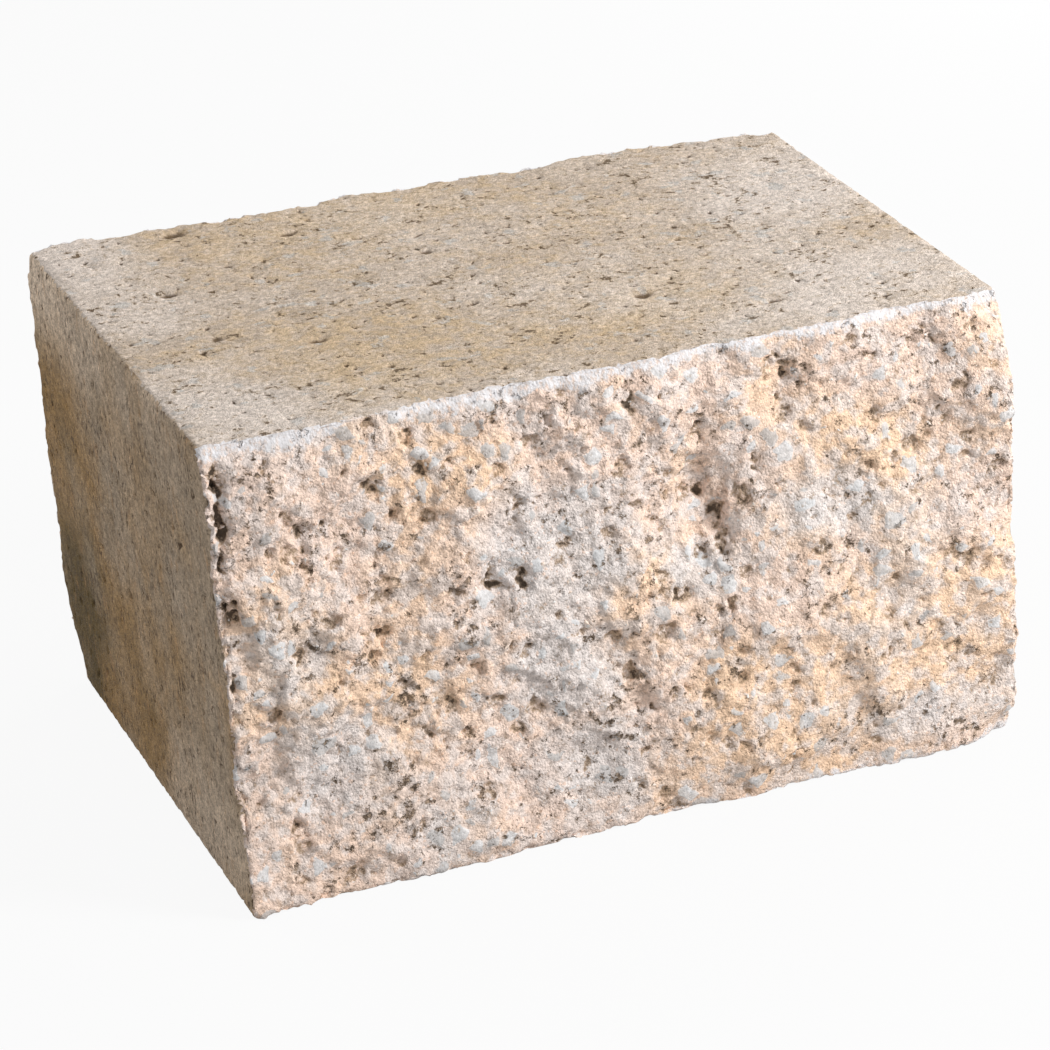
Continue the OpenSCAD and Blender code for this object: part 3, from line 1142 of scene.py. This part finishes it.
    def worn(self, graph: Graph, rest: Feed, place: Outputs, given: Outputs) -> Socket:
        """Work out what the edges have lost.

        Args:
            graph: The relief's graph.
            rest: The place before the relief, in millimetres.
            place: The same place as its three coordinates.
            given: The tree's inputs.

        Returns:
            The depth of the chips, and of the bites along the back, in millimetres.
        """
        split = self.named(graph, Mask.SPLIT)
        rim = graph.crest(self.spread(graph, self.named(graph, Mask.BED), 4))
        edge = graph.most(graph.crest(self.spread(graph, split, 4)), graph.times(rim, 0.35))
        front = graph.step(place[1], -70.0, -90.0)
        sharp = graph.times(graph.step(place[2], 131.0, 137.5), front)
        ragged = graph.times(graph.step(place[0], -100.0, -116.0), front)
        chips = graph.step(graph.noise(graph.moved(rest, 25.0), 5.0, 3.0, 0.6), 0.42, 0.72)
        chips = graph.times(chips, graph.fitted(sharp, -0.6, 1.0))
        chips = graph.times(chips, graph.fitted(ragged, 0.8, 1.0))
        chips = graph.times(graph.times(edge, chips), given["Edge Wear"])
        lip = graph.crest(self.spread(graph, split, 16))
        bites = graph.step(graph.noise(graph.moved(rest, 140.0), 12.0, 3.0, 0.55), 0.48, 0.72)
        bites = graph.times(bites, graph.step(place[1], -30.0, 30.0))
        bites = graph.times(bites, graph.fitted(graph.step(place[2], 116.0, 130.0), 0.8, 0.2))
        return graph.fitted(graph.times(lip, bites), given["Bite"], chips)

    def toned(self, graph: Graph, geometry: Feed, rest: Feed, deepest: Feed) -> Socket:
        """Store the broad tones of every side.

        Args:
            graph: The relief's graph.
            geometry: The block with its attributes.
            rest: The place before the relief, in millimetres.
            deepest: How deep the hollows are, in millimetres.

        Returns:
            The geometry with the attributes hollow, warm and pale.
        """
        split = self.named(graph, Mask.SPLIT)
        bed = self.named(graph, Mask.BED)
        end = graph.minus(graph.minus(1.0, split), bed)
        warm = graph.noise(rest, self.patch_size, 3.0, 0.6)
        pale = graph.noise(graph.moved(rest, 310.0), self.patch_size, 4.0, 0.65)
        for side, where, warm_spots, pale_spots in (
            (Side.FRONT, split, self.front_warm, self.front_pale),
            (Side.TOP, bed, self.top_warm, self.top_pale),
            (Side.LEFT, end, self.end_warm, self.end_pale),
        ):
            share = graph.times(where, self.patch_strength)
            warm = graph.fitted(graph.ellipses(rest, side, warm_spots, 1.4, 0.3), share, warm)
            pale = graph.fitted(graph.ellipses(rest, side, pale_spots, 1.4, 0.3), share, pale)
        # The hollows' depth, which the split faces' material darkens as painted shade.
        geometry = self.stored(graph, geometry, Mask.HOLLOW, graph.step(deepest, 0.7, 2.0))
        geometry = self.stored(graph, geometry, Mask.WARM, warm)
        return self.stored(graph, geometry, Mask.PALE, pale)

    def broken(self, graph: Graph, rest: Feed, swayed: Feed, given: Outputs) -> tuple[Feed, Feed]:
        """Work out the relief of a split face.

        Args:
            graph: The relief's graph.
            rest: The place before the relief, in millimetres.
            swayed: The same place, bent a little.
            given: The tree's inputs.

        Returns:
            The height over the face, and how deep the hollows in it are, in millimetres.
        """
        lumps = graph.swing(rest, given["Lump Size"], 2.0, 0.5)
        clumps = graph.math("ABSOLUTE", graph.swing(swayed, given["Clump Size"], 2.0, 0.6))
        billow = graph.minus(graph.times(clumps, 4.0), 0.45)
        crumbs = graph.times(self.mix.grains(graph, swayed), given["Grain Rise"])
        crumbs = graph.fitted(billow, given["Clump Rise"], crumbs)
        stone = graph.most(self.named(graph, Mask.STONE), 0.0)
        socket = graph.least(self.named(graph, Mask.STONE), 0.0)
        crumbs = graph.times(crumbs, graph.fitted(stone, -0.7, 1.0))
        height = graph.fitted(lumps, given["Lump Rise"], crumbs)
        height = graph.fitted(stone, given["Stone Rise"], height)
        height = graph.fitted(socket, given["Socket Depth"], height)
        bent = graph.wandering(rest, 4.5, 7.0, 3.0)
        deepest = graph.ellipses(bent, Side.FRONT, self.hollows, 1.5, 0.1)
        uneven = graph.fitted(graph.noise(graph.moved(rest, 15.0), 3.0, 3.0, 0.65), 2.4, -0.45)
        deepest = graph.times(deepest, graph.times(uneven, 0.9))
        height = graph.minus(graph.minus(height, deepest), given["Set Back"])
        calm = graph.step(self.named(graph, Mask.CRUSHED), -2.5, 2.5)
        calm = graph.times(calm, graph.step(graph.axes(rest)[1], 60.0, -60.0))
        return graph.blend(graph.times(calm, 0.72), height, -0.3), deepest

    def build(self, node: bpy.types.Object, grain: GrainGroup) -> bpy.types.Object:
        """Build the block's visible piece.

        Args:
            node: The CAD node's object, which stays as it is.
            grain: The shared fine sand.

        Returns:
            The piece, riding on the block's body.
        """
        mesh = node.data.copy()
        shell = bmesh.new()
        shell.from_mesh(mesh)
        bmesh.ops.remove_doubles(shell, verts=shell.verts, dist=0.01 * MM)
        shell.to_mesh(mesh)
        shell.free()
        draft = bpy.data.objects.new("block_draft", mesh)
        bpy.context.scene.collection.objects.link(draft)
        remesh = draft.modifiers.new("fine mesh", "REMESH")
        remesh.mode = "VOXEL"
        remesh.voxel_size = self.voxel
        low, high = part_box("block")
        relief = draft.modifiers.new("relief", "NODES")
        relief.node_group = self.relief_tree()
        values = labelled(self, self.SIZES)
        values.update({"Softening": self.softening, "Low Corner": tuple(low), "High Corner": tuple(high)})
        values.update({name: finish().material(grain) for name, finish in self.FINISHES.items()})
        set_inputs(relief, values)
        draft = baked(draft, "block_draft")
        faces = sum(len(polygon.vertices) - 2 for polygon in draft.data.polygons)
        thin = draft.modifiers.new("thinning", "DECIMATE")
        thin.ratio = min(1.0, self.triangles / faces)
        thin.use_collapse_triangulate = True
        piece = baked(draft, "block_body")
        held_in(piece.data, low, high)
        self.mapped(piece.data)
        piece.data.shade_smooth()
        piece.data.set_sharp_from_angle(angle=math.radians(self.crease))
        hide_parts("block")
        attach(piece, "root")
        LOG.info("%s: %d triangles from %d", piece.name, len(piece.data.polygons), faces)
        return piece

    def mapped(self, mesh: bpy.types.Mesh) -> None:
        """Lay the six sides out flat, side by side, as the mesh's own map.

        Args:
            mesh: The block's mesh, with its attributes.
        """
        rest = point_values(mesh, Mask.REST, 3) / MM
        split = point_values(mesh, Mask.SPLIT, 1)[:, 0]
        corners = np.empty(len(mesh.loops), dtype=np.int32)
        mesh.loops.foreach_get("vertex_index", corners)
        faces = corners.reshape(-1, 3)
        one, two, three = (rest[faces[:, corner]] for corner in range(3))
        facing = np.cross(two - one, three - one)
        centre = (one + two + three) / 3.0
        broken = split[faces].mean(axis=1) > 0.5
        flat = np.abs(facing[:, 2]) >= np.abs(facing[:, 0])
        side = np.where(flat, np.where(facing[:, 2] > 0.0, Side.TOP.value, Side.BOTTOM.value),
                        np.where(facing[:, 0] < 0.0, Side.LEFT.value, Side.RIGHT.value))
        side = np.where(broken, np.where(centre[:, 1] < 0.0, Side.FRONT.value, Side.BACK.value), side)
        corner_side = np.repeat(side, 3)
        place = np.empty((len(corners), 2), dtype=np.float32)
        half = {0: LENGTH / 2.0 / MM, 1: DEPTH / 2.0 / MM, 2: 0.0}
        for island in self.islands:
            chosen = corner_side == island.side.value
            across = rest[corners[chosen], island.across]
            across = (-across if island.turned else across) + half[island.across]
            place[chosen, 0] = (island.left + across) / self.map_side
            along = rest[corners[chosen], island.along] + half[island.along]
            place[chosen, 1] = (island.low + along) / self.map_side
        sheet = mesh.uv_layers.new(name="OFBake")
        sheet.data.foreach_set("uv", place.ravel())


@dataclass
class ExposedStones:
    """The stones that the break has laid bare, set into both split faces."""

    SIZES: ClassVar[tuple[str, ...]] = (
        "spacing", "density", "smallest", "largest", "flatness", "sink", "tilt",
    )

    shapes: int = 6
    corners: int = 22
    spacing: float = 3.2 * MM
    density: float = 10_000.0
    highest: float = 133.0 * MM
    smallest: float = 0.7 * MM
    largest: float = 1.7 * MM
    width: float = 0.85
    flatness: float = 0.5
    sink: float = 0.40
    tilt: float = 0.35
    turn: float = 6.283
    seed: int = 7

    def tree(self) -> bpy.types.GeometryNodeTree:
        """Build the tree that scatters the stones.

        Returns:
            The geometry node group.
        """
        inputs = {"Geometry": "NodeSocketGeometry", "Seed": "NodeSocketInt", "Material": "NodeSocketMaterial"}
        inputs.update({size: "NodeSocketFloat" for size in labelled(self, self.SIZES)})
        tree = new_group("exposed_stones", "GeometryNodeTree", inputs, {"Geometry": "NodeSocketGeometry"})
        graph = Graph(tree)
        given = graph.add("NodeGroupInput").outputs
        height = graph.axes(BlockBody.named(graph, Mask.REST, "FLOAT_VECTOR"))[2]
        broken = graph.math("GREATER_THAN", BlockBody.named(graph, Mask.SPLIT), 0.9)
        below = graph.math("LESS_THAN", height, self.highest)
        spread = graph.add(
            "GeometryNodeDistributePointsOnFaces",
            {"Mesh": given["Geometry"], "Distance Min": given["Spacing"], "Density Max": given["Density"],
             "Density Factor": graph.times(broken, below), "Seed": given["Seed"]},
            distribute_method="POISSON",
        ).outputs
        share = self.random(graph, 0.0, 1.0, 11)
        size = graph.blend(graph.math("POWER", share, 2.2), given["Smallest"], given["Largest"])
        points = BlockBody.stored(graph, spread["Points"], Mask.TONE, self.random(graph, 0.0, 1.0, 12))
        points = BlockBody.stored(graph, points, Mask.SIZE, size)
        size = BlockBody.named(graph, Mask.SIZE)
        sunk = graph.scaled(spread["Normal"], graph.times(size, graph.times(given["Sink"], -1.0)))
        points = graph.one("GeometryNodeSetPosition", {"Geometry": points, "Offset": sunk})
        lean = graph.one("ShaderNodeCombineXYZ", {
            0: graph.times(self.random(graph, -1.0, 1.0, 13), given["Tilt"]),
            1: graph.times(self.random(graph, -1.0, 1.0, 14), given["Tilt"]),
            2: self.random(graph, 0.0, self.turn, 15),
        })
        spin = graph.one("FunctionNodeEulerToRotation", {0: lean})
        feeds = {0: spread["Rotation"], 1: spin}
        turned = graph.one("FunctionNodeRotateRotation", feeds, rotation_space="LOCAL")
        scale = graph.one("ShaderNodeCombineXYZ", {
            0: graph.times(size, self.random(graph, 0.9, 1.5, 16)), 1: size, 2: size})
        stones = graph.one(
            "GeometryNodeInstanceOnPoints",
            {"Points": points, "Instance": self.hulls(graph, given), "Pick Instance": True,
             "Instance Index": self.random(graph, 0, self.shapes - 1, 17), "Rotation": turned,
             "Scale": scale},
        )
        real = graph.one("GeometryNodeRealizeInstances", {"Geometry": stones})
        done = graph.one("GeometryNodeSetMaterial", {"Geometry": real, "Material": given["Material"]})
        graph.add("NodeGroupOutput", {"Geometry": done})
        return tree

    @staticmethod
    def random(graph: Graph, low: Feed, high: Feed, seed: int) -> Socket:
        """Add a Random Value node.

        Args:
            graph: The tree's graph.
            low: The lowest value; a whole number gives whole numbers, and a vector gives vectors.
            high: The highest value.
            seed: The fixed seed.

        Returns:
            The value, another for each point.
        """
        kind = {int: "INT", float: "FLOAT", tuple: "FLOAT_VECTOR"}[type(low)]
        node = graph.add("FunctionNodeRandomValue", data_type=kind)
        for name, value in (("Min", low), ("Max", high), ("Seed", seed)):
            graph.feed(live(node.inputs, name), value)
        return live(node.outputs, "Value")

    def hulls(self, graph: Graph, given: Outputs) -> Socket:
        """Make a few angular stones of about one unit, each the hull of some random corners.

        Args:
            graph: The tree's graph.
            given: The tree's inputs.

        Returns:
            The stones as instances.
        """
        joined = graph.add("GeometryNodeJoinGeometry")
        for shape in range(self.shapes):
            corner = self.random(graph, (-1.0, -1.0, -1.0), (1.0, 1.0, 1.0), self.seed + shape)
            flat = graph.one("ShaderNodeCombineXYZ", {0: 1.0, 1: self.width, 2: given["Flatness"]})
            corner = graph.vector("MULTIPLY", graph.vector("NORMALIZE", corner), flat)
            cloud = graph.one("GeometryNodePoints", {0: self.corners, 1: corner})
            hull = graph.one("GeometryNodeConvexHull", {0: cloud})
            rim = graph.axes(graph.one("GeometryNodeInputPosition"))[2]
            hull = BlockBody.stored(graph, hull, Mask.RIM, rim)
            single = graph.one("GeometryNodeGeometryToInstance", {0: hull})
            graph.tree.links.new(single, joined.inputs[0])
        return joined.outputs[0]

    def build(self, body: bpy.types.Object, grain: GrainGroup) -> bpy.types.Object:
        """Build the stones on the finished block.

        Args:
            body: The block's piece.
            grain: The shared fine sand.

        Returns:
            The piece, riding on the block's body.
        """
        draft = bpy.data.objects.new("stones_draft", body.data.copy())
        bpy.context.scene.collection.objects.link(draft)
        scatter = draft.modifiers.new("stones", "NODES")
        scatter.node_group = self.tree()
        values = labelled(self, self.SIZES)
        values.update({"Seed": self.seed, "Material": StoneFinish().material(grain)})
        set_inputs(scatter, values)
        piece = baked(draft, "exposed_stones")
        low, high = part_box("block")
        held_in(piece.data, low, high)
        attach(piece, "root")
        LOG.info("%s: %d faces", piece.name, len(piece.data.polygons))
        return piece


@dataclass(frozen=True)
class ProductCamera:
    """A long lens on the block's front left, a little above it, as in the product picture."""

    focal_pixels: float = 4700.0
    azimuth: float = -18.54375
    elevation: float = 23.31839
    roll: float = -4.38292
    distance: float = 5.893 * LENGTH
    sideways: float = 0.00491 * LENGTH
    upwards: float = -0.0425 * LENGTH
    aim_height: float = HEIGHT / 2.0
    aim_depth: float = -0.0025

    def build(self) -> bpy.types.Object:
        """Place the camera and make it the scene's.

        Returns:
            The camera.
        """
        azimuth = math.radians(self.azimuth)
        elevation = math.radians(self.elevation)
        roll = math.radians(self.roll)
        back = Vector((math.sin(azimuth) * math.cos(elevation), -math.cos(azimuth) * math.cos(elevation),
                       math.sin(elevation)))
        right = Vector((math.cos(azimuth), math.sin(azimuth), 0.0))
        up = back.cross(right)
        across = right * math.cos(roll) + up * math.sin(roll)
        along = up * math.cos(roll) - right * math.sin(roll)
        place = (back * self.distance + right * self.sideways + up * self.upwards
                 + Vector((0.0, self.aim_depth, self.aim_height)))
        turn = Matrix((across, along, back)).transposed().to_4x4()
        lens = bpy.data.cameras.new("product_camera")
        lens.sensor_width = 36.0
        lens.lens = self.focal_pixels / PHOTO_PIXELS * lens.sensor_width
        lens.clip_start = 0.01
        lens.clip_end = 20.0
        camera = bpy.data.objects.new("product_camera", lens)
        camera.matrix_world = Matrix.Translation(place) @ turn
        bpy.context.scene.collection.objects.link(camera)
        bpy.context.scene.camera = camera
        return camera


@dataclass(frozen=True)
class Studio:
    """A pale floor, a soft key light from the front right, two lights behind and an even white surround."""

    floor_size: float = 12.0
    floor_colour: Colour = (0.55, 0.55, 0.55, 1.0)
    white: Colour = (1.0, 1.0, 1.0, 1.0)
    backdrop_share: float = 0.92
    surround: float = 0.52
    key_place: tuple[float, float, float] = (0.76, -0.65, 0.68)
    key_size: float = 0.40
    key_power: float = 13.5
    rear_place: tuple[float, float, float] = (-0.30, 0.30, 0.46)
    rear_size: float = 0.25
    rear_power: float = 0.45
    fill_place: tuple[float, float, float] = (0.85, 0.75, 0.20)
    fill_size: float = 0.40
    fill_power: float = 8.0

    def build(self) -> None:
        """Build the floor, the surround and the three lights."""
        self.floor()
        self.world()
        self.lamp("key_light", self.key_place, self.key_size, self.key_power)
        self.lamp("rear_light", self.rear_place, self.rear_size, self.rear_power)
        self.lamp("fill_light", self.fill_place, self.fill_size, self.fill_power)
        bpy.context.scene.view_settings.view_transform = "Standard"

    def floor(self) -> None:
        """Lay the floor, white where the camera sees it and still dark under the block's shadow."""
        half = self.floor_size / 2.0
        mesh = bpy.data.meshes.new("floor")
        corners = [(-half, -half, 0), (half, -half, 0), (half, half, 0), (-half, half, 0)]
        mesh.from_pydata(corners, [], [(0, 1, 2, 3)])
        material = bare_material("studio_floor")
        graph = Graph(material.node_tree)
        paper = graph.one("ShaderNodeBsdfDiffuse", {"Color": self.floor_colour})
        white = graph.one("ShaderNodeEmission", {"Color": self.white, "Strength": 1.0})
        share = graph.times(self.seen(graph), self.backdrop_share)
        mixed = graph.one("ShaderNodeMixShader", {0: share, 1: paper, 2: white})
        graph.add("ShaderNodeOutputMaterial", {"Surface": mixed})
        mesh.materials.append(material)
        floor = bpy.data.objects.new("floor", mesh)
        bpy.context.scene.collection.objects.link(floor)

    def world(self) -> None:
        """Surround the block with even white light, and show white behind it."""
        world = bpy.data.worlds.new("studio")
        world.use_nodes = True
        world.node_tree.nodes.clear()
        graph = Graph(world.node_tree)
        strength = graph.blend(self.seen(graph), self.surround, 1.0)
        light = graph.one("ShaderNodeBackground", {"Color": self.white, "Strength": strength})
        graph.add("ShaderNodeOutputWorld", {"Surface": light})
        bpy.context.scene.world = world

    @staticmethod
    def seen(graph: Graph) -> Socket:
        """Return 1 for what the camera sees straight or by way of a mirror or glass, and 0 for other rays."""
        path = graph.add("ShaderNodeLightPath").outputs
        straight = graph.most(path["Is Camera Ray"], path["Is Glossy Ray"])
        return graph.most(straight, path["Is Transmission Ray"])

    @staticmethod
    def lamp(name: str, place: tuple[float, float, float], size: float, power: float) -> None:
        """Hang a soft round light, turned to the block.

        Args:
            name: The lamp's name.
            place: Where it hangs, in metres.
            size: Its width, in metres.
            power: Its power, in watts.
        """
        light = bpy.data.lights.new(name, "AREA")
        light.shape = "DISK"
        light.size = size
        light.energy = power
        lamp = bpy.data.objects.new(name, light)
        aim = Vector((0.0, 0.0, HEIGHT / 2.0)) - Vector(place)
        lamp.matrix_world = Matrix.Translation(place) @ aim.to_track_quat("-Z", "Y").to_matrix().to_4x4()
        bpy.context.scene.collection.objects.link(lamp)


def main() -> None:
    """Build the block, the studio and the camera, and note the sizes."""
    logging.basicConfig(level=logging.INFO, format="%(message)s")
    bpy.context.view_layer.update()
    grain = GrainGroup()
    body = BlockBody().build(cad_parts["block"], grain)
    ExposedStones().build(body, grain)
    Studio().build()
    ProductCamera().build()


if __name__ == "__main__":
    main()
